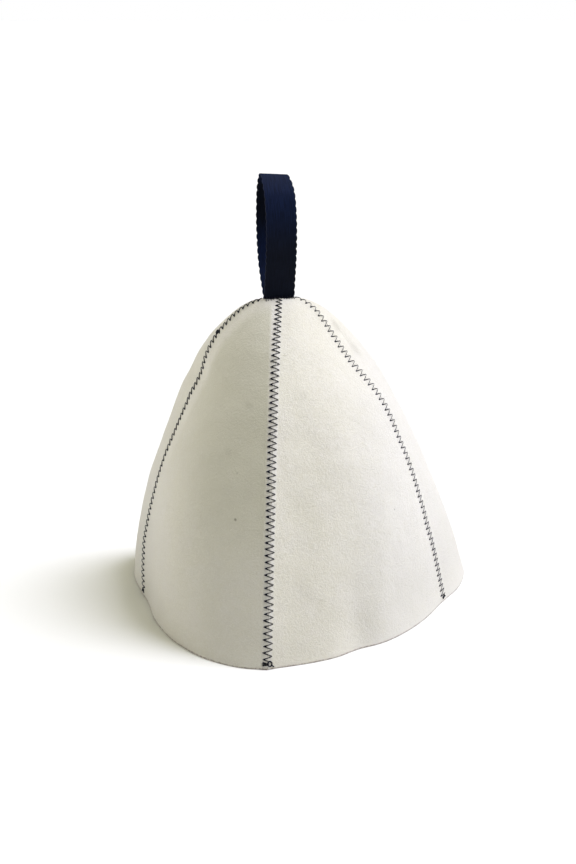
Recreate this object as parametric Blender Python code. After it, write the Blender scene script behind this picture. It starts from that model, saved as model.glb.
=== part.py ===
"""A felt sauna hat of four gores, with a ribbon loop sewn into the crown.

Metres, +Z up. The hat stands on its rim at z = 0 with its front seam towards -Y. It is
shaped round a middle line just beside the crown, and then moved so that the origin lies
on the floor in the middle of its length and width.
"""

from math import cos, exp, pi, radians, sin

import bmesh
import bpy
from mathutils import Vector

MM = 0.001

# Driving dimensions
CROWN_HEIGHT = 194 * MM
FELT = 3.0 * MM
SEAM_GAP = 0.3 * MM
RIBBON_WIDTH = 19 * MM
RIBBON_THICKNESS = 1.0 * MM
RIBBON_TURN = radians(18)
SLOT_HALF_WIDTH = 1.5 * MM
SLOT_HALF_LENGTH = RIBBON_WIDTH / 2 + 0.5 * MM

# Faces of each gore, from the crown to the rim and from seam to seam
ROWS = 26
COLUMNS = 18

# How far each seam has run out from the crown's slot, section by section, in mm
SECTIONS = (
    # below crown, left, front, right, back
    (0, 0, 0, 0, 0),
    (2, 6.5, 6.5, 6.5, 7),
    (7, 14.5, 14, 14, 15),
    (14, 22, 22.5, 19, 24),
    (24, 30.5, 32.5, 26, 33.5),
    (38, 37, 43.5, 36.5, 44),
    (50, 40, 51.5, 47.5, 50.5),
    (64, 48, 59.5, 58, 57),
    (90, 59, 72.5, 69, 69),
    (125, 71, 86, 81, 81),
    (160, 77.5, 98, 89.5, 91),
    (194, 78, 110, 95.5, 98.5),
)

# The way each seam runs from the crown, in degrees from the front to the right, at the
# crown and at the rim: the left seam swings forward on its way down, the right one back
SEAM_TURN = {
    "left": (-106, -92.5),
    "front": (-3.5, -3.5),
    "right": (73, 83),
    "back": (173, 173),
}

# Each gore's first and last seam, and how full it stands beside each, as a share of its
# width, at the crown, half way down and at the rim
GORES = (
    # name, first seam, last seam, fullness by the first, fullness by the last
    ("gore_front_left", "left", "front", (0.18, 0.23, 0.09), (0.29, 0.31, 0.35)),
    ("gore_front_right", "front", "right", (0.24, 0.14, 0.19), (0.06, 0.25, 0.17)),
    ("gore_back_right", "right", "back", (1.08, 0.63, 0.90), (0.27, 0.18, 0.11)),
    ("gore_back_left", "back", "left", (0.25, 0.25, 0.21), (0.74, 0.82, 0.75)),
)

# Dents (inward) and swells (outward, so a negative depth), in degrees and mm
DENTS = (
    # place, turn from the front, height, half width, half height, depth
    ("crown_fold", 93, 162, 8, 9, 1.2),
    ("right_neck", 106, 130, 18, 18, 5.1),
    ("left_shoulder", -127, 138, 16, 26, -5.5),
    ("rim_wave", 30, 0, 11, 38, 3.5),
    ("rim_ridge", -10, 0, 14, 40, -2.0),
    ("rim_flat", -33, 0, 14, 40, 1.5),
    ("rim_corner", -64, 0, 18, 35, -1.6),
    ("rim_right", 95, 0, 16, 12, -2.7),
)

# The ribbon's way up from inside the crown, over and down again, in mm and degrees:
# forward is square to the ribbon, roll lifts its left edge
LOOP_ROUTE = (
    # forward, above crown, sideways, roll
    (0.65, -12, 0, 0),
    (0.65, -4, 0, 0),
    (0.8, 2, 0, 0),
    (2.4, 12, 0, 0),
    (4.6, 25, 0, 0),
    (5.6, 40, 0, 0),
    (4.4, 53.5, 0, 1),
    (0.6, 65.5, 0, 3),
    (-7, 74, 0, 4),
    (-13, 66.5, 0, 3),
    (-15, 52.5, 0, 2),
    (-14.6, 38, 0, 1),
    (-12, 24, 0, 0),
    (-7.6, 13, 0, 0),
    (-3, 5, 0, 0),
    (-0.9, 0, 0, 0),
    (-0.65, -5, 0, 0),
    (-0.65, -12, 0, 0),
)
LOOP_STEPS = 3

FELT_LOOK = ("felt", (0.80, 0.78, 0.70), 0.95)
RIBBON_LOOK = ("ribbon", (0.012, 0.022, 0.075), 0.8)

SEAM_COLUMN = {"left": 1, "front": 2, "right": 3, "back": 4}
SIDEWAYS = Vector((cos(RIBBON_TURN), sin(RIBBON_TURN), 0))
FORWARD = Vector((sin(RIBBON_TURN), -cos(RIBBON_TURN), 0))
CROWN = Vector((1.2 * MM, 0, CROWN_HEIGHT))
TO_MIDDLE = Vector((-14.2, 6.4, 0)) * MM
SLOT_SIDE = {
    "left": SIDEWAYS * -SLOT_HALF_LENGTH,
    "front": FORWARD * SLOT_HALF_WIDTH,
    "right": SIDEWAYS * SLOT_HALF_LENGTH,
    "back": FORWARD * -SLOT_HALF_WIDTH,
}


def clear_objects():
    for old in list(bpy.data.objects):
        bpy.data.objects.remove(old, do_unlink=True)


def smooth_through(rows, place):
    """A row of numbers at a place between the rows, on a smooth curve through them."""
    last = len(rows) - 1
    start = min(int(place), last - 1)
    t = place - start
    a, b, c, d = (rows[min(max(start + step, 0), last)] for step in (-1, 0, 1, 2))
    return [
        0.5 * (2 * q + (r - p) * t + (2 * p - 5 * q + 4 * r - s) * t**2
               + (3 * q - p - 3 * r + s) * t**3)
        for p, q, r, s in zip(a, b, c, d)
    ]


def heading(degrees):
    """The level direction that many degrees from the front, to the right."""
    turn = radians(degrees)
    return Vector((sin(turn), -cos(turn), 0))


def seam_point(seam, place):
    """A point of a seam: place runs from section to section down the hat."""
    section = smooth_through(SECTIONS, place)
    reach = section[SEAM_COLUMN[seam]] * MM
    below = section[0] * MM
    at_crown, at_rim = SEAM_TURN[seam]
    turn = at_crown + (at_rim - at_crown) * (below / CROWN_HEIGHT) ** 2
    return CROWN + SLOT_SIDE[seam] + heading(turn) * reach - Vector((0, 0, below))


def fullness_at(steps, place):
    """Fullness from the crown's, the middle's and the rim's value."""
    depth = smooth_through(SECTIONS, place)[0] * MM / CROWN_HEIGHT
    crown, middle, rim = steps
    if depth < 0.5:
        return crown + (middle - crown) * depth * 2
    return middle + (rim - middle) * (depth * 2 - 1)


def slot_edge(gore, across):
    """The gore's tip, cut to go round the ribbon's edge and along its face."""
    first, last = gore[1], gore[2]
    from_side = across if first in ("left", "right") else 1 - across
    side, face = (first, last) if first in ("left", "right") else (last, first)
    corner = 2 / COLUMNS
    turned = min(from_side / corner, 1)
    along = max(from_side - corner, 0) / (1 - corner)
    return CROWN + SLOT_SIDE[side] * (1 - along) + SLOT_SIDE[face] * turned


def dent_at(point):
    """How far the dents and swells move a point of the outside towards the middle."""
    level = Vector((point.x, point.y, 0))
    total = 0
    for _, turn, height, half_width, half_height, depth in DENTS:
        away = (level - heading(turn) * level.length).length / (half_width * MM)
        up = (point.z - height * MM) / (half_height * MM)
        total += depth * MM * exp(-away**2 - up**2)
    return total


def outside(gore, place, across):
    """A point of the felt's outer face: place runs down the sections, across the gore."""
    first, last, by_first, by_last = gore[1:]
    start, end = seam_point(first, place), seam_point(last, place)
    chord = end - start
    outward = Vector((chord.y, -chord.x, 0))
    full = 3 * across * (1 - across) * (
        (1 - across) * fullness_at(by_first, place) + across * fullness_at(by_last, place)
    )
    point = start + chord * across + outward * full
    slot_share = max(0, 1 - place / 1.5) ** 2
    if slot_share > 0:
        plain = outside_of_slot(gore, across)
        point += (slot_edge(gore, across) - plain) * slot_share
    level = Vector((point.x, point.y, 0))
    if place > 2:
        point -= level.normalized() * dent_at(point)
    return point


def outside_of_slot(gore, across):
    """Where the top section alone would put the gore's tip, in plan."""
    start, end = SLOT_SIDE[gore[1]], SLOT_SIDE[gore[2]]
    chord = end - start
    outward = Vector((chord.y, -chord.x, 0))
    full = 3 * across * (1 - across) * (
        (1 - across) * gore[3][0] + across * gore[4][0]
    )
    return CROWN + start + chord * across + outward * full


def face_normal(gore, place, across):
    """The felt's outward direction."""
    small = 0.02
    last = len(SECTIONS) - 1
    low, high = max(place - small, 0), min(place + small, last)
    left, right = max(across - small, 0), min(across + small, 1)
    down = outside(gore, high, across) - outside(gore, low, across)
    along = outside(gore, place, right) - outside(gore, place, left)
    return down.cross(along).normalized()


def neighbour(gore, across):
    """The gore on the other side of the seam at this edge, and that seam's place in it."""
    index = GORES.index(gore)
    if across == 0:
        return GORES[index - 1], 1
    return GORES[(index + 1) % len(GORES)], 0


def wall_points(gore, place, across):
    """The outer and the inner point of the felt, clear of the next gore by half a gap."""
    last = len(SECTIONS) - 1
    outer = outside(gore, place, across)
    normal = face_normal(gore, max(place, 0.05), across)
    thickness = FELT
    if across in (0, 1):
        other = face_normal(neighbour(gore, across)[0], max(place, 0.05),
                            neighbour(gore, across)[1])
        shared = (normal + other).normalized()
        thickness = FELT / shared.dot(normal)
        seam = (seam_point(gore[1 + across], min(place + 0.1, last))
                - seam_point(gore[1 + across], max(place - 0.1, 0)))
        aside = shared.cross(seam)
        aside.z = 0
        aside = aside.normalized() * (SEAM_GAP / 2)
        outer = outer + (aside if across == 0 else -aside)
        normal = shared
    crown_share = max(0, 1 - place / 1.5)
    rim_share = max(0, 1 - (last - place) / 1.0)
    upright = Vector((0, 0, 1 / max(normal.z, 0.3)))
    level = Vector((normal.x, normal.y, 0))
    level = level / level.length_squared
    inward = normal * (1 - crown_share - rim_share) + upright * crown_share
    inward += level * rim_share
    return outer, outer - inward * thickness


def make_material(name, colour, roughness):
    material = bpy.data.materials.new(name)
    material.use_nodes = True
    shader = material.node_tree.nodes["Principled BSDF"]
    shader.inputs["Base Color"].default_value = (*colour, 1)
    shader.inputs["Roughness"].default_value = roughness
    shader.inputs["Metallic"].default_value = 0
    return material


def finish(name, mesh_work, look):
    """Turn the worked faces into a named, smooth-shaded object of one material."""
    bmesh.ops.translate(mesh_work, verts=mesh_work.verts, vec=TO_MIDDLE)
    bmesh.ops.recalc_face_normals(mesh_work, faces=mesh_work.faces)
    mesh = bpy.data.meshes.new(name)
    mesh_work.to_mesh(mesh)
    mesh_work.free()
    mesh.shade_smooth()
    mesh.set_sharp_from_angle(angle=radians(40))
    mesh.materials.append(make_material(name + "_" + look[0], look[1], look[2]))
    bpy.context.collection.objects.link(bpy.data.objects.new(name, mesh))


def make_gore(gore):
    """One petal of felt: an outer and an inner sheet, closed along all four edges."""
    work = bmesh.new()
    last = len(SECTIONS) - 1
    outer, inner = [], []
    for row in range(ROWS + 1):
        pairs = [
            wall_points(gore, last * row / ROWS, column / COLUMNS if column % COLUMNS
                        else column // COLUMNS)
            for column in range(COLUMNS + 1)
        ]
        outer.append([work.verts.new(pair[0]) for pair in pairs])
        inner.append([work.verts.new(pair[1]) for pair in pairs])
    for row in range(ROWS):
        for column in range(COLUMNS):
            for sheet in (outer, inner):
                work.faces.new((sheet[row][column], sheet[row][column + 1],
                                sheet[row + 1][column + 1], sheet[row + 1][column]))
    edge = [(0, column) for column in range(COLUMNS)]
    edge += [(row, COLUMNS) for row in range(ROWS)]
    edge += [(ROWS, column) for column in range(COLUMNS, 0, -1)]
    edge += [(row, 0) for row in range(ROWS, 0, -1)]
    for (row, column), (next_row, next_column) in zip(edge, edge[1:] + edge[:1]):
        work.faces.new((outer[row][column], inner[row][column],
                        inner[next_row][next_column], outer[next_row][next_column]))
    finish(gore[0], work, FELT_LOOK)


def loop_frame(place):
    """The ribbon's middle and its width direction at a place along the route."""
    forward, above, sideways, roll = smooth_through(LOOP_ROUTE, place)
    middle = CROWN + FORWARD * forward * MM + SIDEWAYS * sideways * MM
    middle += Vector((0, 0, above * MM))
    tilt = radians(roll)
    return middle, SIDEWAYS * cos(tilt) - Vector((0, 0, sin(tilt)))


def make_loop():
    """The ribbon as one flat band, swept along its route."""
    work = bmesh.new()
    steps = (len(LOOP_ROUTE) - 1) * LOOP_STEPS
    rings = []
    for step in range(steps + 1):
        place = step / LOOP_STEPS
        middle, width = loop_frame(place)
        before = loop_frame(max(place - 0.1, 0))[0]
        after = loop_frame(min(place + 0.1, len(LOOP_ROUTE) - 1))[0]
        face = width.cross(after - before).normalized() * (RIBBON_THICKNESS / 2)
        half = width * (RIBBON_WIDTH / 2)
        corners = (middle - half - face, middle + half - face,
                   middle + half + face, middle - half + face)
        rings.append([work.verts.new(corner) for corner in corners])
    for ring, following in zip(rings, rings[1:]):
        for side in range(4):
            onward = (side + 1) % 4
            work.faces.new((ring[side], ring[onward], following[onward], following[side]))
    work.faces.new(rings[0])
    work.faces.new(rings[-1])
    finish("hanging_loop", work, RIBBON_LOOK)


clear_objects()
for each_gore in GORES:
    make_gore(each_gore)
make_loop()
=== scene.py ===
from math import cos, exp, pi, radians, sin, sqrt
from random import Random

import bmesh
import bpy
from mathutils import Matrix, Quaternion, Vector, noise
from mathutils.bvhtree import BVHTree
from mathutils.kdtree import KDTree


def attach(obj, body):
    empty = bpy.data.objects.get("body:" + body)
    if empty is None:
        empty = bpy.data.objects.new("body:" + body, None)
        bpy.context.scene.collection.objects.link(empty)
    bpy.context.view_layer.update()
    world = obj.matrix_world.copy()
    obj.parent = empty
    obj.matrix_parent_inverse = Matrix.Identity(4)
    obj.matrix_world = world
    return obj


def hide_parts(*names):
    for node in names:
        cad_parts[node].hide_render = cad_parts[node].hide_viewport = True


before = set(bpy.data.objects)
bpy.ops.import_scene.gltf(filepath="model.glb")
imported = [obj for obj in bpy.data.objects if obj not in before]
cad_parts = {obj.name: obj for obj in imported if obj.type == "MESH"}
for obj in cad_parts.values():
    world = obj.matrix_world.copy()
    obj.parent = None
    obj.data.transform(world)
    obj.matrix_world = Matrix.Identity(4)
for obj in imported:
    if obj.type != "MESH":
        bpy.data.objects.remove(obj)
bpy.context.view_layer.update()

MM = 0.001


# Camera. The photo looks at the front seam from a little above, with a short telephoto
# lens, and the crown is slightly left of the picture's middle.
CAMERA_PLACE = Vector((-7.5, -893.1, 367.3)) * MM
CAMERA_DOWN = radians(16)
CAMERA_LENS = 62.5
CAMERA_SENSOR = 36

camera_data = bpy.data.cameras.new("camera")
camera_data.lens = CAMERA_LENS
camera_data.sensor_width = CAMERA_SENSOR
camera = bpy.data.objects.new("camera", camera_data)
camera.location = CAMERA_PLACE
camera.rotation_euler = (pi / 2 - CAMERA_DOWN, 0, 0)
bpy.context.scene.collection.objects.link(camera)
bpy.context.scene.camera = camera


# Floor and light. A plain pale floor before a white background. The strongest light comes
# from high on the right, so the front right gore is the brighter one, and two weaker ones
# fill in from above and from the left.
class Wire:
    """A shader socket that takes part in ordinary arithmetic."""

    def __init__(self, tree, socket):
        self.tree = tree
        self.socket = socket

    def maths(self, operation, *values):
        return add_node(self.tree, "ShaderNodeMath", {"operation": operation}, *values)

    def __add__(self, other):
        return self.maths("ADD", self, other)

    __radd__ = __add__

    def __sub__(self, other):
        return self.maths("SUBTRACT", self, other)

    def __rsub__(self, other):
        return self.maths("SUBTRACT", other, self)

    def __mul__(self, other):
        return self.maths("MULTIPLY", self, other)

    __rmul__ = __mul__

    def __pow__(self, other):
        return self.maths("POWER", self, other)

    def __abs__(self):
        return self.maths("ABSOLUTE", self)

    def fade(self, start, end):
        """0 below start, 1 above end, and smooth between them."""
        settings = {"interpolation_type": "SMOOTHSTEP"}
        return add_node(self.tree, "ShaderNodeMapRange", settings, self, start, end)


def add_node(tree, kind, settings, *values, output=0, **named):
    """Any other node: its settings first, then the values or links of its sockets."""
    node = tree.nodes.new(kind)
    for name, value in settings.items():
        setattr(node, name, value)
    sockets = [(node.inputs[place], value) for place, value in enumerate(values)]
    sockets += [(node.inputs[name.replace("_", " ")], value) for name, value in named.items()]
    for socket, value in sockets:
        if isinstance(value, Wire):
            tree.links.new(value.socket, socket)
        else:
            socket.default_value = value
    return Wire(tree, node.outputs[output])


def new_material(name, **constants):
    """A material with one Principled shader, its even values set on its own sockets."""
    material = bpy.data.materials.new(name)
    material.use_nodes = True
    shader = material.node_tree.nodes["Principled BSDF"]
    for socket, value in constants.items():
        shader.inputs[socket.replace("_", " ")].default_value = value
    return material, material.node_tree, shader


def new_object(name, mesh, material):
    """A named piece at the origin, with its one material."""
    mesh.materials.clear()
    mesh.materials.append(material)
    piece = bpy.data.objects.new(name, mesh)
    bpy.context.scene.collection.objects.link(piece)
    return piece


FLOOR_HALF = 30.0
FLOOR_BELOW_RIM = 0.2 * MM
FLOOR_SHADE = (0.93, 0.93, 0.87, 1)

floor_work = bmesh.new()
bmesh.ops.create_grid(floor_work, x_segments=1, y_segments=1, size=FLOOR_HALF)
floor_mesh = bpy.data.meshes.new("floor")
floor_work.to_mesh(floor_mesh)
floor_work.free()
floor_material, _, _ = new_material("studio_floor", Base_Color=FLOOR_SHADE, Roughness=0.9)
floor = new_object("floor", floor_mesh, floor_material)
floor.location.z = -FLOOR_BELOW_RIM

LAMP_DISTANCE = 2.0
LAMPS = (
    # name, the way towards it, softness in degrees, strength, colour
    ("key_right", (0.53, 0.04, 0.845), 36, 3.4, (0.81, 0.815, 1.0)),
    ("overhead", (0.22, 0.06, 0.97), 60, 1.1, (1.0, 0.985, 0.73)),
    ("fill_left", (-0.89, 0.42, 0.17), 24, 1.3, (1.0, 0.97, 0.96)),
)
for lamp_name, towards, softness, strength, colour in LAMPS:
    lamp_data = bpy.data.lights.new(lamp_name, "SUN")
    lamp_data.angle = radians(softness)
    lamp_data.energy = strength
    lamp_data.color = colour
    lamp = bpy.data.objects.new(lamp_name, lamp_data)
    lamp.location = Vector(towards) * LAMP_DISTANCE
    lamp.rotation_euler = (-Vector(towards)).to_track_quat("-Z", "Y").to_euler()
    bpy.context.scene.collection.objects.link(lamp)

SKY_SEEN = 1.0
SKY_LIGHT = 0.05
world = bpy.data.worlds.new("studio")
world.use_nodes = True
sky = world.node_tree
seen_by_camera = add_node(sky, "ShaderNodeLightPath", {})
sky_strength = seen_by_camera * (SKY_SEEN - SKY_LIGHT) + SKY_LIGHT
sky.nodes["Background"].inputs["Color"].default_value = (1, 1, 1, 1)
sky.links.new(sky_strength.socket, sky.nodes["Background"].inputs["Strength"])
bpy.context.scene.world = world
bpy.context.scene.view_settings.view_transform = "Standard"


# Felt gores. Four petals of thick off-white wool felt, cut out flat, butted edge to edge
# and drawn together by the seam threads, so that a low ridge stands up along each seam and
# a broad one at the front. The cut edges are a little rounded.
GORES = ("gore_front_left", "gore_front_right", "gore_back_right", "gore_back_left")
GORE_FLAT = {
    # gore: width and length of the flat cut in metres, and its area in square metres
    "gore_front_left": (0.165, 0.230, 0.0225),
    "gore_front_right": (0.165, 0.230, 0.0230),
    "gore_back_right": (0.195, 0.235, 0.0275),
    "gore_back_left": (0.185, 0.235, 0.0265),
}
SEAM_SIDES = {
    # seam: the gores to its left and its right, seen from outside
    "front": ("gore_front_left", "gore_front_right"),
    "right": ("gore_front_right", "gore_back_right"),
    "back": ("gore_back_right", "gore_back_left"),
    "left": ("gore_back_left", "gore_front_left"),
}
CROWN_AXIS = (-13.0, 6.4)
HAT_MIDDLE = Vector((*CROWN_AXIS, 60)) * MM
SAME_CORNER = 0.02 * MM
FLAT_PAIR = radians(30)
SQUARE_PAIR = radians(70)
CUT_EDGE_ANGLE = radians(50)
CUT_EDGE_ROUND = 0.4 * MM
FELT_LEVELS = 3
ACROSS_THE_GAP = 0.6 * MM
GAP_LEFT = 0.1
SEAM_STEPS = 12


def merged_copy(node):
    """A work copy of a CAD node with its loose triangles joined up again."""
    work = bmesh.new()
    work.from_mesh(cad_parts[node].data)
    bmesh.ops.remove_doubles(work, verts=work.verts, dist=SAME_CORNER)
    bmesh.ops.join_triangles(work, faces=work.faces, angle_face_threshold=FLAT_PAIR,
                             angle_shape_threshold=SQUARE_PAIR)
    return work


def outer_edge_points(work):
    """The corners of a gore's outer face that lie on its cut edges."""
    work.normal_update()
    points = []
    for vertex in work.verts:
        sharp = any(edge.is_manifold and edge.calc_face_angle() > CUT_EDGE_ANGLE
                    for edge in vertex.link_edges)
        if sharp and vertex.normal.dot(vertex.co - HAT_MIDDLE) > 0:
            points.append(vertex.co.copy())
    return points


def smooth_through(points, place):
    """A point at a place between the listed ones, on a smooth curve through them."""
    last = len(points) - 1
    start = min(int(place), last - 1)
    t = place - start
    a, b, c, d = (points[min(max(start + step, 0), last)] for step in (-1, 0, 1, 2))
    return 0.5 * (2 * b + (c - a) * t + (2 * a - 5 * b + 4 * c - d) * t**2
                  + (3 * b - a - 3 * c + d) * t**3)


def point_tree(points):
    """A search tree that finds the nearest of the points to any place."""
    tree = KDTree(len(points))
    for index, point in enumerate(points):
        tree.insert(point, index)
    tree.balance()
    return tree


def draw_together(first, second):
    """Close the CAD's gap between two gores, as the seam thread pulls them together."""
    corners = list(second.verts)
    tree = point_tree([corner.co for corner in corners])
    for vertex in first.verts:
        near, index, distance = tree.find(vertex.co)
        if distance < ACROSS_THE_GAP:
            middle = (vertex.co + near) / 2
            corners[index].co = middle + (near - middle) * GAP_LEFT
            vertex.co = middle + (vertex.co - middle) * GAP_LEFT


def seam_between(first, second):
    """The line that two gores share on the outside, from the crown down, in close points."""
    tree = point_tree(second)
    shared = []
    for point in first:
        near, _, distance = tree.find(point)
        if distance < ACROSS_THE_GAP:
            shared.append((point + near) / 2)
    shared.sort(key=lambda point: -point.z)
    steps = (len(shared) - 1) * SEAM_STEPS
    return [smooth_through(shared, step / SEAM_STEPS) for step in range(steps + 1)]


gore_work = {name: merged_copy(name) for name in GORES}
for before, name in zip(GORES[-1:] + GORES[:-1], GORES):
    draw_together(gore_work[before], gore_work[name])
gore_edges = {name: outer_edge_points(work) for name, work in gore_work.items()}
SEAMS = {name: seam_between(gore_edges[left], gore_edges[right])
         for name, (left, right) in SEAM_SIDES.items()}
seam_tree = point_tree([point for points in SEAMS.values() for point in points])
front_tree = point_tree(SEAMS["front"])

# The felt is matt, with a short nap, faint yellow and grey clouds and a few dark specks.
# Painted shade makes the front left gore darker and yellower, painted light makes the felt
# paler at both sides and along the front seam, and painted shade makes it greyer towards
# the rim. Two soft grey patches behind the right seam are painted crease shade, and the felt
# is darker and browner in a thin line along the hem.
OBJECT_PLACE = 3
LAID_ALONG = 420
LAID_ACROSS = 1900
SPECK_SCALE = 70.0
FRONT_HALF = (-10 * MM, 0)
FRONT_SEAM_FOOT = -20 * MM
FRONT_SEAM_LEAN = 0.03
HEM_LINE_HEIGHT = (0.2 * MM, 1.1 * MM)
FRONT_LEFT_SHADE_TO_SEAM = (-4.4 * MM, -2.8 * MM)
FRONT_LEFT_SHADE_ACROSS = (-88 * MM, -48 * MM)
FRONT_LEFT_SHADE_HEIGHT = (20 * MM, 110 * MM)
SIDE_LIGHT_RIGHT = (5 * MM, 60 * MM)
SIDE_LIGHT_LEFT = (-105 * MM, -70 * MM)
SEAM_LIGHT_HALF_WIDTH = (2.2 * MM, 3.4 * MM)
RIM_SHADE_HEIGHT = (15 * MM, 80 * MM)
SPOT_CORE = 0.3
SPOT_COLOUR = (0.20, 0.18, 0.11)
SPOTS = (
    # across, height and radius in mm, and how dark it is
    (-37, 104, 0.8, 0.30),
    (-38, 79, 1.1, 0.75),
    (-30, 140, 3.5, 0.10),
    (1.5, 145, 3.5, 0.10),
    (-42, 114, 3.0, 0.08),
)
# Painted crease shade: two soft grey patches behind the right seam, below the crown.
CREASE_SHADE_CORE = 0.2
CREASE_SHADE_COLOUR = (0.24, 0.21, 0.14)
CREASE_SHADES = (
    # middle and radius in mm, and how dark it is
    ((22, 12, 176), 6.5, 0.20),
    ((34, 12, 161), 7.5, 0.12),
)

felt_material, felt, felt_shader = new_material(
    "cream_felt", Roughness=0.95, Sheen_Weight=0.25, Sheen_Roughness=0.6,
    Specular_IOR_Level=0.2)
felt_place = add_node(felt, "ShaderNodeTexCoord", {}, output=OBJECT_PLACE)
felt_across, felt_depth, felt_height = (
    add_node(felt, "ShaderNodeSeparateXYZ", {}, felt_place, output=axis) for axis in range(3))


def blend_colour(tree, share, first, second):
    """One colour fading into another; a Mix node keeps its colours in sockets 6 and 7."""
    node = tree.nodes.new("ShaderNodeMix")
    node.data_type = "RGBA"
    for socket, value in ((node.inputs[0], share), (node.inputs[6], first),
                          (node.inputs[7], second)):
        if isinstance(value, Wire):
            tree.links.new(value.socket, socket)
        else:
            socket.default_value = (*value, 1) if isinstance(value, tuple) else value
    return Wire(tree, node.outputs[2])


def connect(tree, wire, shader, socket):
    """Feed one of a Principled shader's sockets."""
    tree.links.new(wire.socket, shader.inputs[socket])


def felt_noise(scale, detail, roughness, distortion=0.0, place=felt_place):
    return add_node(felt, "ShaderNodeTexNoise", {}, Vector=place, Scale=scale, Detail=detail,
                    Roughness=roughness, Distortion=distortion)


def laid_fibres(turn):
    """Nap lying one way: noise with fewer waves a metre along the fibres than across."""
    turned = add_node(felt, "ShaderNodeMapping", {}, Vector=felt_place, Rotation=turn,
                      Scale=(LAID_ALONG, LAID_ACROSS, LAID_ACROSS))
    return felt_noise(1.0, detail=2, roughness=0.6, distortion=0.8, place=turned)


def felt_specks():
    """Tiny dark bits of straw, in about one cell of seven."""
    near = add_node(felt, "ShaderNodeTexVoronoi", {}, Vector=felt_place, Scale=SPECK_SCALE)
    tint = add_node(felt, "ShaderNodeTexVoronoi", {}, output=1, Vector=felt_place,
                    Scale=SPECK_SCALE)
    picked = add_node(felt, "ShaderNodeSeparateColor", {}, tint).fade(0.86, 0.87)
    return picked * (1 - near.fade(0.015, 0.055))


clouds = felt_noise(55, detail=3, roughness=0.5).fade(0.35, 0.68)
blotches = felt_noise(210, detail=3, roughness=0.6).fade(0.3, 0.7)
grain = felt_noise(620, detail=3, roughness=0.65).fade(0.25, 0.75)
nubs = felt_noise(1300, detail=2, roughness=0.6).fade(0.42, 0.66)
fibres = laid_fibres((0.2, 0.9, 0.6)) * 0.5 + laid_fibres((0.5, -0.7, -0.5)) * 0.5
on_front = 1 - felt_depth.fade(*FRONT_HALF)
right_of_seam = felt_across - FRONT_SEAM_FOOT - felt_height * FRONT_SEAM_LEAN
# Painted shade: the front left gore darker and yellower, up to just left of the front seam.
shaded_front_left = (1 - right_of_seam.fade(*FRONT_LEFT_SHADE_TO_SEAM)) * felt_across.fade(*FRONT_LEFT_SHADE_ACROSS)
shaded_front_left = shaded_front_left * on_front * felt_height.fade(*FRONT_LEFT_SHADE_HEIGHT)
# Painted light: the felt paler towards both sides.
painted_side_light = felt_across.fade(*SIDE_LIGHT_RIGHT) + (1 - felt_across.fade(*SIDE_LIGHT_LEFT))
# Painted light: a paler band along the front seam.
painted_seam_light = (1 - abs(right_of_seam).fade(*SEAM_LIGHT_HALF_WIDTH)) * on_front
# Painted shade: the felt greyer towards the rim.
painted_rim_shade = 1 - felt_height.fade(*RIM_SHADE_HEIGHT)
# The felt is darker and browner in a thin line along its lowest millimetre.
hem_line = 1 - felt_height.fade(*HEM_LINE_HEIGHT)

felt_layers = [
    # where it lies and how strongly, and its colour
    (blotches * 0.5, (0.770, 0.736, 0.588)),
    (grain * 0.6, (0.745, 0.716, 0.585)),
    (nubs * 0.5, (0.850, 0.832, 0.725)),
    (fibres.fade(0.54, 0.70) * 0.35, (0.86, 0.84, 0.75)),
    (shaded_front_left * 0.75, (0.63, 0.61, 0.455)),
    (painted_side_light * 0.5, (0.805, 0.79, 0.745)),
    (painted_seam_light * 0.5, (0.88, 0.86, 0.80)),
    (felt_specks() * 0.5, (0.20, 0.19, 0.13)),
]
for across, height, radius, darkness in SPOTS:
    away = ((felt_across - across * MM) ** 2 + (felt_height - height * MM) ** 2) ** 0.5
    spot = (1 - away.fade(radius * MM * SPOT_CORE, radius * MM)) * on_front * darkness
    felt_layers.append((spot, SPOT_COLOUR))
# Painted crease shade behind the right seam.
for middle, radius, darkness in CREASE_SHADES:
    away = add_node(felt, "ShaderNodeVectorMath", {"operation": "DISTANCE"}, felt_place,
                    Vector(middle) * MM, output=1)
    crease_shade = (1 - away.fade(radius * MM * CREASE_SHADE_CORE, radius * MM)) * darkness
    felt_layers.append((crease_shade, CREASE_SHADE_COLOUR))
felt_layers += [
    # Painted shade greys the felt towards the rim.
    (painted_rim_shade * 0.2, (0.46, 0.44, 0.36)),
    (hem_line * grain * 1.3, (0.34, 0.27, 0.23)),
]
cream = blend_colour(felt, clouds, (0.815, 0.784, 0.645), (0.815, 0.782, 0.677))
for share, colour in felt_layers:
    cream = blend_colour(felt, share, cream, colour)
connect(felt, cream, felt_shader, "Base Color")
felt_relief = grain * 0.6 + nubs * 0.35 + fibres * 0.45
felt_bump = add_node(felt, "ShaderNodeBump", {}, Strength=0.55, Distance=0.35 * MM,
                     Height=felt_relief)
connect(felt, felt_bump, felt_shader, "Normal")

RIDGE_HEIGHT = 0.5 * MM
RIDGE_HALF_WIDTH = 3.0 * MM
FRONT_SWELL = 2.2 * MM
FRONT_SWELL_HALF_WIDTH = 13 * MM
FRONT_SWELL_TOP = 192 * MM
FRONT_SWELL_FADE = 24 * MM
CREASE = (Vector((21, 12, 177)) * MM, Vector((37, 12, 158)) * MM)
CREASE_DEPTH = 0.8 * MM
CREASE_HALF_WIDTH = 3.5 * MM
UNEVEN_TOP = 188 * MM
UNEVEN_FADE = 12 * MM
UNEVENNESS = (
    # lumps a metre, and their height in mm
    (28, 0.8),
    (70, 0.35),
    (210, 0.10),
)


def bell(away, half_width):
    """1 in the middle, and falling softly towards 0 at about two half widths."""
    return exp(-((away / half_width) ** 2))


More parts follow.
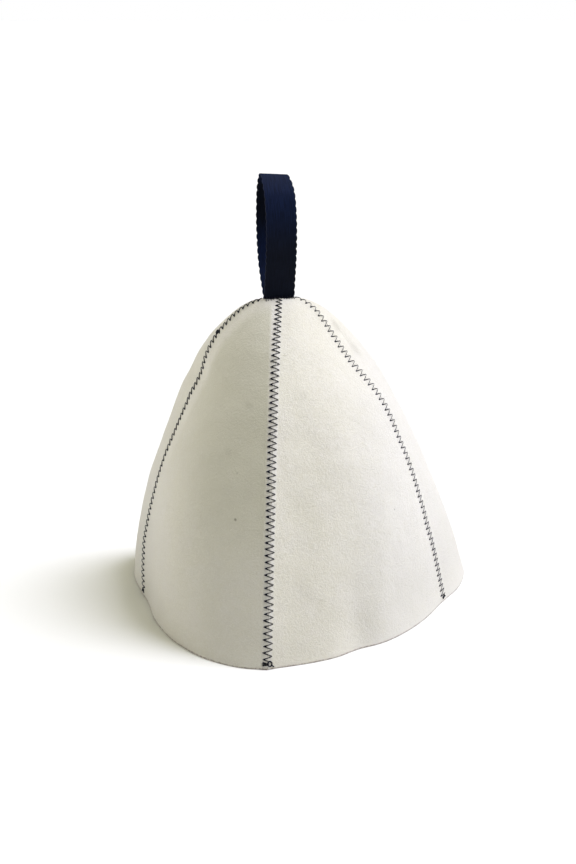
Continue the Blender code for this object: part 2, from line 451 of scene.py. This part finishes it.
def unevenness(point):
    """The cloth's own unevenness, least at the crown and the rim."""
    rim_share = min(point.z / UNEVEN_FADE, 1)
    crown_share = min(max((UNEVEN_TOP - point.z) / UNEVEN_FADE, 0), 1)
    lumps = sum(noise.noise(point * scale) * height for scale, height in UNEVENNESS)
    return lumps * MM * rim_share * crown_share


def front_swell(point):
    """The front seam stands forward as a broad low ridge, least at the crown and the rim."""
    _, _, away = front_tree.find(point)
    crown_share = min(max((FRONT_SWELL_TOP - point.z) / FRONT_SWELL_FADE, 0), 1)
    rim_share = min(point.z / FRONT_SWELL_FADE, 1)
    return FRONT_SWELL * bell(away, FRONT_SWELL_HALF_WIDTH) * crown_share * rim_share


def crease_at(point):
    """A soft crease just behind the right seam, below the crown."""
    start, end = CREASE
    way = end - start
    share = min(max((point - start).dot(way) / way.length_squared, 0), 1)
    away = (point - start - way * share).length
    return CREASE_DEPTH * bell(away, CREASE_HALF_WIDTH)


def finished_mesh(rough):
    """The mesh that a work object gives with its modifiers or its bevel; the object goes."""
    bpy.context.scene.collection.objects.link(rough)
    depsgraph = bpy.context.evaluated_depsgraph_get()
    mesh = bpy.data.meshes.new_from_object(rough.evaluated_get(depsgraph))
    bpy.data.objects.remove(rough)
    mesh.shade_smooth()
    return mesh


def make_felt(name):
    """One gore: cut edges rounded, surface refined, then ridges, swell and crease."""
    work = gore_work[name]
    work.normal_update()
    cut_edges = [edge for edge in work.edges if edge.calc_face_angle(0) > CUT_EDGE_ANGLE]
    bmesh.ops.bevel(work, geom=cut_edges, offset=CUT_EDGE_ROUND, offset_type="OFFSET",
                    affect="EDGES", segments=2, profile=0.5, material=-1, clamp_overlap=True)
    coarse_mesh = bpy.data.meshes.new(name + "_coarse")
    work.to_mesh(coarse_mesh)
    work.free()
    rough = bpy.data.objects.new(name + "_rough", coarse_mesh)
    smoother = rough.modifiers.new("smooth", "SUBSURF")
    smoother.levels = FELT_LEVELS
    smoother.render_levels = FELT_LEVELS
    mesh = finished_mesh(rough)
    bpy.data.meshes.remove(coarse_mesh)
    for vertex in mesh.vertices:
        point = vertex.co.copy()
        outward = (point - HAT_MIDDLE).normalized()
        _, _, distance = seam_tree.find(point)
        ridge = RIDGE_HEIGHT * bell(distance, RIDGE_HALF_WIDTH)
        vertex.co = point + outward * (unevenness(point) + ridge)
        vertex.co -= outward * crease_at(point)
        vertex.co.y -= front_swell(point)
        vertex.co.z = max(vertex.co.z, 0)
    mesh.name = name + "_felt"
    piece = new_object(name + "_felt", mesh, felt_material)
    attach(piece, "root")
    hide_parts(name)
    width, length, area = GORE_FLAT[name]
    return piece


felt_pieces = {name: make_felt(name) for name in GORES}


# Nap. Short loose wool fibres lie over both faces of the felt and curl a little off them,
# so that the felt is soft in outline and never quite even in the light.
NAP_FIBRES = 8000
FIBRE_WIDTH = 0.06 * MM
FIBRE_LENGTHS = (0.9 * MM, 2.6 * MM)
FIBRE_LIFTS = (0.05 * MM, 0.32 * MM)
FIBRE_BEND = 0.35
FIBRE_ROOT = -0.3
FIBRE_TIPS = (-0.2, 0.9)
LOWEST_NAP = 3.8 * MM
HIGHEST_NAP = 191 * MM

nap_material, nap_tree, nap_shader = new_material(
    "wool_fibre", Roughness=0.9, Sheen_Weight=0.2, Specular_IOR_Level=0.2)
nap_place = add_node(nap_tree, "ShaderNodeTexCoord", {}, output=OBJECT_PLACE)
nap_noise = add_node(nap_tree, "ShaderNodeTexNoise", {}, Vector=nap_place, Scale=400.0)
nap_colour = blend_colour(nap_tree, nap_noise.fade(0.35, 0.65), (0.90, 0.88, 0.76),
                          (0.74, 0.71, 0.58))
connect(nap_tree, nap_colour, nap_shader, "Base Color")


def fibre_corners(dice, place, normal):
    """Three pairs of corners: a fibre that leaves the felt, arches and sinks again."""
    length = dice.uniform(*FIBRE_LENGTHS)
    lift = dice.uniform(*FIBRE_LIFTS)
    along = normal.orthogonal()
    along.rotate(Quaternion(normal, dice.uniform(0, 2 * pi)))
    side = normal.cross(along)
    bend = side * (dice.uniform(-FIBRE_BEND, FIBRE_BEND) * length)
    rows = ((0, FIBRE_ROOT), (0.5, 1.0), (1.0, dice.uniform(*FIBRE_TIPS)))
    for share, height in rows:
        middle = place + along * (length * share) + bend * share**2 + normal * (lift * height)
        yield middle - side * (FIBRE_WIDTH / 2)
        yield middle + side * (FIBRE_WIDTH / 2)


def make_nap(name, felt_piece, seed):
    """Loose fibres over one gore, as many on any patch as its area asks for."""
    dice = Random(seed)
    faces = felt_piece.data.polygons
    areas = [face.area for face in faces]
    work = bmesh.new()
    for face in dice.choices(faces, weights=areas, k=NAP_FIBRES):
        if not LOWEST_NAP < face.center.z < HIGHEST_NAP:
            continue
        row = [work.verts.new(corner)
               for corner in fibre_corners(dice, face.center, face.normal)]
        work.faces.new((row[0], row[1], row[3], row[2]))
        work.faces.new((row[2], row[3], row[5], row[4]))
    mesh = bpy.data.meshes.new("nap_" + name)
    work.to_mesh(mesh)
    work.free()
    piece = new_object("nap_" + name, mesh, nap_material)
    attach(piece, "root")


for seed, (name, felt_piece) in enumerate(felt_pieces.items()):
    make_nap(name, felt_piece, seed)


# Seam threads. One navy thread runs down each seam in a close zigzag, from the ribbon to
# just above the rim, dipping into the felt at every needle hole. The thread from below is
# pulled up at the holes of one side, which makes the points there darker.
THREAD_RADIUS = 0.21 * MM
THREAD_ROUNDNESS = 2
LOWEST_THREAD = 0.7 * MM
SEAM_PROBE = 2 * MM
SIDE_PROBES = (-5 * MM, -3 * MM, 3 * MM, 5 * MM)
PROBE_START = 9 * MM
PROBE_LENGTH = 25 * MM
OWN_WEIGHT = 0.5

corners, polygons = [], []
for piece in felt_pieces.values():
    offset = len(corners)
    corners += [vertex.co.copy() for vertex in piece.data.vertices]
    polygons += [[offset + corner for corner in face.vertices] for face in piece.data.polygons]
felt_surface = BVHTree.FromPolygons(corners, polygons)

thread_material, thread, thread_shader = new_material(
    "navy_thread", Roughness=0.7, Specular_IOR_Level=0.2, Sheen_Weight=0.05)
thread_place = add_node(thread, "ShaderNodeTexCoord", {}, output=OBJECT_PLACE)
thread_noise = add_node(thread, "ShaderNodeTexNoise", {}, Vector=thread_place, Scale=900.0,
                        Detail=2.0)
thread_colour = blend_colour(thread, thread_noise.fade(0.3, 0.7), (0.004, 0.005, 0.010),
                             (0.010, 0.012, 0.022))
connect(thread, thread_colour, thread_shader, "Base Color")
thread_bump = add_node(thread, "ShaderNodeBump", {}, Strength=0.6, Distance=0.1 * MM,
                       Height=thread_noise)
connect(thread, thread_bump, thread_shader, "Normal")


class SeamLine:
    """A seam measured along its length, with directions across it and out of it."""

    def __init__(self, points):
        self.points = points
        self.along = [0.0]
        for before, after in zip(points, points[1:]):
            self.along.append(self.along[-1] + (after - before).length)
        self.length = self.along[-1]

    def at(self, distance):
        distance = min(max(distance, 0), self.length)
        index = 1
        while index < len(self.along) - 1 and self.along[index] < distance:
            index += 1
        span = self.along[index] - self.along[index - 1]
        share = (distance - self.along[index - 1]) / span
        return self.points[index - 1].lerp(self.points[index], share)

    def outward_at(self, distance):
        """Square to the seam and out of the felt, as the felt on both its sides faces."""
        middle = self.at(distance)
        down = (self.at(distance + SEAM_PROBE) - self.at(distance - SEAM_PROBE)).normalized()
        guess = middle - HAT_MIDDLE
        guess = (guess - down * guess.dot(down)).normalized()
        aside = guess.cross(down)
        total = guess * OWN_WEIGHT
        for reach in SIDE_PROBES:
            start = middle + aside * reach + guess * PROBE_START
            _, normal, _, _ = felt_surface.ray_cast(start, -guess, PROBE_LENGTH)
            if normal is not None:
                total += normal if normal.dot(guess) > 0 else -normal
        return (total - down * total.dot(down)).normalized(), down

    def on_felt(self, distance, sideways, lift):
        """A point beside the seam, lifted off the felt; sideways is to the viewer's right."""
        middle = self.at(distance)
        outward, down = self.outward_at(distance)
        beside = middle + outward.cross(down).normalized() * sideways
        hit, normal, _, _ = felt_surface.ray_cast(beside + outward * PROBE_START, -outward,
                                                  PROBE_LENGTH)
        if hit is None:
            hit, normal = beside, outward
        if normal.dot(outward) < 0:
            normal = -normal
        place = hit + (normal + outward).normalized() * lift
        place.z = max(place.z, LOWEST_THREAD)
        return place


def thread_object(name, runs, radius):
    """Threads as round tubes, each along a run of points with its share of the radius."""
    curve = bpy.data.curves.new(name, "CURVE")
    curve.dimensions = "3D"
    curve.bevel_depth = radius
    curve.bevel_resolution = THREAD_ROUNDNESS
    curve.use_fill_caps = True
    for run in runs:
        spline = curve.splines.new("POLY")
        spline.points.add(len(run) - 1)
        for target, (point, share) in zip(spline.points, run):
            target.co = (*point, 1)
            target.radius = share
    mesh = finished_mesh(bpy.data.objects.new(name + "_rough", curve))
    mesh.name = name
    piece = new_object(name, mesh, thread_material)
    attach(piece, "root")


STITCH = 1.85 * MM
HOLE_SLIP_ALONG = 0.12 * MM
HOLE_SLIP_ACROSS = 0.2 * MM
HOLE_LIFT = -1.4
LEG_PROFILE = (
    # share of the way across, lift over the felt in thread radii
    (0.0, HOLE_LIFT),
    (0.10, 0.4),
    (0.26, 0.9),
    (0.74, 0.9),
    (0.90, 0.4),
)
LEG_MIDDLE = 3
MIDDLE_LIFT = 0.25 * THREAD_RADIUS
FULL_WIDTH_ALONG = 42 * MM
LOOSE_SHARE = 1.45
TIGHT_SHARE = 0.7
PULLED_LIFTS = (-0.9, 0.7, 0.6, -1.0)
PULLED_REACH = (1.1 * MM, 1.8 * MM)
PULLED_SLIP = 0.1 * MM
PULLED_SHARE = 1.3


def share_at(side, half_width, loose_side):
    """The thread lies thick and proud on one side of the seam, and drawn thin on the other."""
    along = (loose_side * side / half_width + 1) / 2
    return TIGHT_SHARE + (LOOSE_SHARE - TIGHT_SHARE) * min(max(along, 0), 1)


def leg_points(line, near, far, half_width, leg_share, loose_side):
    """One leg of the zigzag: out of its hole, straight across the seam by way of a middle
    point, and down again."""
    leg = []
    for share, lift in LEG_PROFILE:
        along = near[0] + (far[0] - near[0]) * share
        side = near[1] + (far[1] - near[1]) * share
        leg.append((line.on_felt(along, side, lift * THREAD_RADIUS),
                    share_at(side, half_width, loose_side) * leg_share))
    middle = (leg[LEG_MIDDLE - 1][0] + leg[LEG_MIDDLE][0]) / 2
    outward = (middle - HAT_MIDDLE).normalized()
    leg.insert(LEG_MIDDLE, (middle + outward * MIDDLE_LIFT, leg_share))
    return leg


def pulled_loop(line, dice, hole, loose_side):
    """The short end of the thread from below that shows beside a hole."""
    reach = dice.uniform(*PULLED_REACH) * -loose_side
    points = []
    for step, lift in enumerate(PULLED_LIFTS):
        along = hole[0] + dice.uniform(-PULLED_SLIP, PULLED_SLIP)
        side = hole[1] + reach * step / (len(PULLED_LIFTS) - 1)
        points.append((line.on_felt(along, side, lift * THREAD_RADIUS), PULLED_SHARE))
    return points


def zigzag_runs(line, seed, first, last, half_width, crown_share, return_share, loose_side):
    """The thread across the seam and back, the pulled loops beside it, and its last hole."""
    dice = Random(seed)
    holes = []
    for index in range(int((last - first) / STITCH) + 1):
        side = -1 if index % 2 == 0 else 1
        along = first + index * STITCH
        half = half_width * (crown_share + (1 - crown_share) * min(along / FULL_WIDTH_ALONG, 1))
        holes.append((along + dice.uniform(-HOLE_SLIP_ALONG, HOLE_SLIP_ALONG),
                      side * half + dice.uniform(-HOLE_SLIP_ACROSS, HOLE_SLIP_ACROSS)))
    run, loops = [], []
    for index, (near, far) in enumerate(zip(holes, holes[1:])):
        leg_share = 1.0 if index % 2 == 0 else return_share
        run += leg_points(line, near, far, half_width, leg_share, loose_side)
        if near[1] * loose_side > 0:
            loops.append(pulled_loop(line, dice, near, loose_side))
    run.append((line.on_felt(*holes[-1], HOLE_LIFT * THREAD_RADIUS), TIGHT_SHARE))
    return [run] + loops, holes[-1]


ZIGZAGS = {
    # seam: start below the ribbon, stop above the rim and half width, all in mm, then the
    # width at the crown, the thickness, and the thickness of the legs that run back to the
    # left, as shares of the full ones, and the loose side: -1 is left, 1 is right
    "front": (1.5, 3.8, 2.75, 0.72, 1.25, 0.85, -1),
    "right": (1.0, 2.6, 3.8, 0.46, 1.1, 0.62, -1),
    "back": (1.5, 4.0, 2.75, 0.72, 1.0, 0.85, -1),
    "left": (1.0, 2.8, 3.9, 0.42, 1.35, 1.0, 1),
}
lines = {name: SeamLine(points) for name, points in SEAMS.items()}
last_holes = {}
for seed, (name, line) in enumerate(lines.items()):
    start, stop, half_width, crown_share, thickness, return_share, loose_side = ZIGZAGS[name]
    runs, last_holes[name] = zigzag_runs(
        line, seed, start * MM, line.length - stop * MM, half_width * MM, crown_share,
        return_share, loose_side)
    thread_object("zigzag_" + name, runs, THREAD_RADIUS * thickness)


# Knots. Each zigzag ends in a few short stitches one over another, a small loop of
# thread and a clipped tail. The left seam also has a knot a little below the crown.
KNOTS = {
    # seam: size and thickness, as shares of the usual ones
    "front": (1.0, 1.35),
    "right": (0.6, 1.0),
    "back": (1.0, 1.2),
    "left": (0.7, 1.0),
}
BELOW_ZIGZAG = 0.2 * MM
BAR_STITCHES = 9
BAR_ENDS = (-2.8 * MM, 0.6 * MM)
BAR_SPACING = 0.2 * MM
BAR_LIFT, BAR_RISE = 0.6, 0.12
BAR_SHARE = 1.5
RING_STEPS = 12
RING_OVERLAP = 2
RING_MIDDLE = (0.5 * MM, 1.3 * MM)
RING_RADII = (1.5 * MM, 1.2 * MM)
RING_LIFT, RING_RISE = 0.9, 0.5
RING_SHARE = 1.3
TAIL_STEPS = 4
TAIL_START = (0.8 * MM, 2.0 * MM)
TAIL_STEP = (0.5 * MM, 0.6 * MM)
TAIL_SLIP = 0.1 * MM
TAIL_LIFT, TAIL_RISE = 0.8, 0.5
TAIL_SHARE = 1.2


def knot_runs(line, foot, seed, size):
    """The bar of short stitches, the small loop and the tail. Pairs of sizes are along and
    across the seam, and lifts are in thread radii."""
    dice = Random(seed)
    bar = []
    for step in range(BAR_STITCHES):
        lift = (BAR_LIFT + BAR_RISE * step) * THREAD_RADIUS
        bar.append((line.on_felt(foot + step * BAR_SPACING * size, BAR_ENDS[step % 2] * size,
                                 lift), BAR_SHARE))
    ring = []
    for step in range(RING_STEPS + RING_OVERLAP):
        turn = 2 * pi * step / RING_STEPS
        along = RING_MIDDLE[0] + RING_RADII[0] * cos(turn)
        across = RING_MIDDLE[1] + RING_RADII[1] * sin(turn)
        lift = (RING_LIFT + RING_RISE * sin(turn)) * THREAD_RADIUS
        ring.append((line.on_felt(foot + along * size, across * size, lift), RING_SHARE))
    tail = []
    for step in range(TAIL_STEPS):
        along = TAIL_START[0] + TAIL_STEP[0] * step
        across = TAIL_START[1] + TAIL_STEP[1] * step + dice.uniform(-TAIL_SLIP, TAIL_SLIP)
        lift = (TAIL_LIFT + TAIL_RISE * step) * THREAD_RADIUS
        tail.append((line.on_felt(foot + along * size, across * size, lift), TAIL_SHARE))
    return [bar, ring, tail]


for seed, (name, line) in enumerate(lines.items()):
    size, thickness = KNOTS[name]
    foot = last_holes[name][0] + BELOW_ZIGZAG
    thread_object("knot_" + name, knot_runs(line, foot, seed, size), THREAD_RADIUS * thickness)

UPPER_KNOT_ALONG = 37.5 * MM
UPPER_KNOT_RADII = (1.3 * MM, 1.5 * MM)
UPPER_KNOT_TURNS = 2
UPPER_KNOT_STEPS = 10
UPPER_KNOT_LIFT, UPPER_KNOT_RISE = 1.2, 0.8
UPPER_KNOT_SHARE = 1.8

upper_knot = []
for step in range(UPPER_KNOT_TURNS * UPPER_KNOT_STEPS + 1):
    turn = 2 * pi * step / UPPER_KNOT_STEPS
    along = UPPER_KNOT_ALONG + UPPER_KNOT_RADII[0] * cos(turn)
    lift = (UPPER_KNOT_LIFT + UPPER_KNOT_RISE * step / UPPER_KNOT_STEPS) * THREAD_RADIUS
    upper_knot.append((lines["left"].on_felt(along, UPPER_KNOT_RADII[1] * sin(turn), lift),
                       UPPER_KNOT_SHARE))
thread_object("knot_left_upper", [upper_knot], THREAD_RADIUS)


# Hanging loop. A navy woven ribbon folded in half, with small woven scallops along both
# edges. Its two ends go down between the gores' points, and it stands up stiffly, bowed
# open, with its fold leaning a little back and its left end a little higher.
RIBBON_WIDTH = 19 * MM
RIBBON_THICKNESS = 0.6 * MM
RIBBON_TURN = radians(18)
CROWN = Vector((*CROWN_AXIS, 194)) * MM
SCALLOP = 4.3 * MM
SCALLOP_DEPTH = 0.8 * MM
SCALLOP_RISE = 0.25 * MM
SCALLOP_NARROWNESS = 12
FOLD_PLACE = 8
FOLD_TUCK = 1.8 * MM
FOLD_TUCK_HALF_LENGTH = 0.6
LOOP_ROUTE = (
    # forward, above crown, sideways, roll in degrees
    (0.65, -12, 0, 0),
    (0.65, -4, 0, 0),
    (0.8, 2, 0, 0),
    (2.4, 12, 0, 0),
    (4.6, 25, 0, 0),
    (5.6, 40, 0, 0),
    (4.4, 53.5, 0, 1),
    (0.6, 65.5, 0, 3),
    (-7, 74, 0, 4),
    (-13, 66.5, 0, 3),
    (-15, 52.5, 0, 2),
    (-14.6, 38, 0, 1),
    (-12, 24, 0, 0),
    (-7.6, 13, 0, 0),
    (-3, 5, 0, 0),
    (-0.9, 0, 0, 0),
    (-0.65, -5, 0, 0),
    (-0.65, -12, 0, 0),
)
ROUTE_STEPS = 900
RIBBON_STEPS = 300
RIBBON_COLUMNS = 16
EDGE_COLUMN = 0.999
INNER_COLUMNS = 0.97
RIBBON_CORNER = radians(50)
SIDEWAYS = Vector((cos(RIBBON_TURN), sin(RIBBON_TURN), 0))
FORWARD = Vector((sin(RIBBON_TURN), -cos(RIBBON_TURN), 0))

route_rows = [Vector(row) for row in LOOP_ROUTE]


def ribbon_middle(place):
    forward, above, sideways, _ = smooth_through(route_rows, place)
    return CROWN + (FORWARD * forward + SIDEWAYS * sideways + Vector((0, 0, above))) * MM


def ribbon_width_way(place):
    roll = radians(smooth_through(route_rows, place)[3])
    return SIDEWAYS * cos(roll) - Vector((0, 0, sin(roll)))


route_places = [(len(LOOP_ROUTE) - 1) * step / ROUTE_STEPS for step in range(ROUTE_STEPS + 1)]
route_points = [ribbon_middle(place) for place in route_places]
route_length = [0.0]
for before, after in zip(route_points, route_points[1:]):
    route_length.append(route_length[-1] + (after - before).length)
RIBBON_LENGTH = route_length[-1]
FOLD_ALONG = route_length[len(route_length) * FOLD_PLACE // (len(LOOP_ROUTE) - 1)]


def place_at(distance):
    """The place on the route that lies this far along the ribbon."""
    low, high = 0, len(route_length) - 1
    while high - low > 1:
        middle = (low + high) // 2
        if route_length[middle] <= distance:
            low = middle
        else:
            high = middle
    share = (distance - route_length[low]) / (route_length[high] - route_length[low])
    return route_places[low] + (route_places[high] - route_places[low]) * min(share, 1)


def ribbon_point(distance, across):
    """across runs from -1 at the left edge to 1 at the right edge."""
    place = place_at(distance)
    hollow = (1 - sqrt(abs(sin(pi * distance / SCALLOP)))) * abs(across) ** SCALLOP_NARROWNESS
    half = RIBBON_WIDTH / 2 + SCALLOP_RISE - SCALLOP_DEPTH * hollow
    if across > 0:
        half -= FOLD_TUCK * bell(place - FOLD_PLACE, FOLD_TUCK_HALF_LENGTH)
    return ribbon_middle(place) + ribbon_width_way(place) * half * across


ribbon_work = bmesh.new()
bmesh.ops.create_grid(ribbon_work, x_segments=RIBBON_STEPS, y_segments=RIBBON_COLUMNS, size=1,
                      calc_uvs=True)
ribbon_uv = ribbon_work.loops.layers.uv.verify()
for face in ribbon_work.faces:
    for loop in face.loops:
        x, y = loop.vert.co.xy
        loop[ribbon_uv].uv = ((x + 1) / 2 * RIBBON_LENGTH, y * RIBBON_WIDTH / 2)
for vertex in ribbon_work.verts:
    x, y = vertex.co.xy
    across = y if abs(y) > EDGE_COLUMN else y * INNER_COLUMNS
    vertex.co = ribbon_point((x + 1) / 2 * RIBBON_LENGTH, across)
bmesh.ops.recalc_face_normals(ribbon_work, faces=ribbon_work.faces)
for vertex in ribbon_work.verts:
    vertex.co = vertex.co + vertex.normal * (RIBBON_THICKNESS / 2)
bmesh.ops.solidify(ribbon_work, geom=ribbon_work.faces[:], thickness=RIBBON_THICKNESS)
bmesh.ops.recalc_face_normals(ribbon_work, faces=ribbon_work.faces)
ribbon_mesh = bpy.data.meshes.new("ribbon_loop")
ribbon_work.to_mesh(ribbon_mesh)
ribbon_work.free()
ribbon_mesh.shade_smooth()
ribbon_mesh.set_sharp_from_angle(angle=RIBBON_CORNER)

# The weave shows as fine ribs across the ribbon. Painted light makes it bluer near the fold
# and low on the strand behind, and painted shade makes it darker elsewhere. These distances
# are along the ribbon from the fold.
PAINTED_SHEEN_FROM = (-52 * MM, -12 * MM)
PAINTED_SHEEN_UNTIL = (2 * MM, 10 * MM)
PAINTED_SHEEN_AGAIN = (26 * MM, 48 * MM)

ribbon_material, ribbon, ribbon_shader = new_material(
    "navy_ribbon", Roughness=0.62, Specular_IOR_Level=0.07, Sheen_Weight=0.025,
    Sheen_Roughness=0.35, Sheen_Tint=(0.3, 0.5, 1.0, 1))
ribbon_place = add_node(ribbon, "ShaderNodeUVMap", {})
past_fold = add_node(ribbon, "ShaderNodeSeparateXYZ", {}, ribbon_place) - FOLD_ALONG
weft = add_node(ribbon, "ShaderNodeTexWave",
                {"wave_type": "BANDS", "bands_direction": "X"},
                Vector=ribbon_place, Scale=800.0, Distortion=0.6, Detail=1.0)
warp_place = add_node(ribbon, "ShaderNodeMapping", {}, Vector=ribbon_place,
                      Scale=(120.0, 2600.0, 1.0))
warp = add_node(ribbon, "ShaderNodeTexNoise", {}, Vector=warp_place, Scale=1.0, Detail=3.0)
warp_share = warp.fade(0.3, 0.7)
# A shaded and a lit copy of the navy, as painted shade and painted light.
shaded_navy = blend_colour(ribbon, warp_share, (0.0014, 0.0024, 0.0062), (0.0040, 0.0068, 0.0165))
lit_navy = blend_colour(ribbon, warp_share, (0.0020, 0.0058, 0.0230), (0.0056, 0.0145, 0.0520))
painted_sheen = past_fold.fade(*PAINTED_SHEEN_FROM) * (1 - past_fold.fade(*PAINTED_SHEEN_UNTIL))
painted_sheen = painted_sheen + past_fold.fade(*PAINTED_SHEEN_AGAIN)
navy = blend_colour(ribbon, painted_sheen, shaded_navy, lit_navy)
navy = blend_colour(ribbon, weft * 0.3, navy, (0.0012, 0.0024, 0.0085))
connect(ribbon, navy, ribbon_shader, "Base Color")
weave = add_node(ribbon, "ShaderNodeBump", {}, Strength=0.5, Distance=0.12 * MM,
                 Height=weft * 0.5 + warp * 0.5)
connect(ribbon, weave, ribbon_shader, "Normal")

ribbon_piece = new_object("ribbon_loop", ribbon_mesh, ribbon_material)
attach(ribbon_piece, "root")
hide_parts("hanging_loop")


# Foot stitches. Short navy stitches cross from the ribbon onto the felt all along the
# foot of the loop and hold its ends in the crown.
FOOT_STITCHES = 11
FOOT_SEED = 7
FOOT_INSET = 0.4 * MM
OUT_ON_FELT = 2.9 * MM
OUT_ON_RIBBON = 1.75 * MM
RISE_ON_FELT = (-0.1 * MM, 0.2 * MM)
RISE_ON_RIBBON = (1.0 * MM, 1.6 * MM)
ABOVE_CROWN = Vector((0, 0, 20)) * MM
DOWN = Vector((0, 0, -1))


def foot_runs(side):
    """A zigzag along the foot: side is 1 on the front strand and -1 on the back one."""
    dice = Random(FOOT_SEED + side)
    run = []
    for index in range(FOOT_STITCHES * 2 + 1):
        across = (-1 + index / FOOT_STITCHES) * (RIBBON_WIDTH / 2 - FOOT_INSET)
        beside = CROWN + SIDEWAYS * across
        if index % 2 == 0:
            point = beside + FORWARD * (OUT_ON_FELT * side)
            hit, _, _, _ = felt_surface.ray_cast(point + ABOVE_CROWN, DOWN)
            point = (hit or point) - DOWN * dice.uniform(*RISE_ON_FELT)
        else:
            point = beside + FORWARD * (OUT_ON_RIBBON * side)
            point = point - DOWN * dice.uniform(*RISE_ON_RIBBON)
        run.append((point, 1.0))
    return [run]


thread_object("foot_front", foot_runs(1), THREAD_RADIUS)
thread_object("foot_back", foot_runs(-1), THREAD_RADIUS)
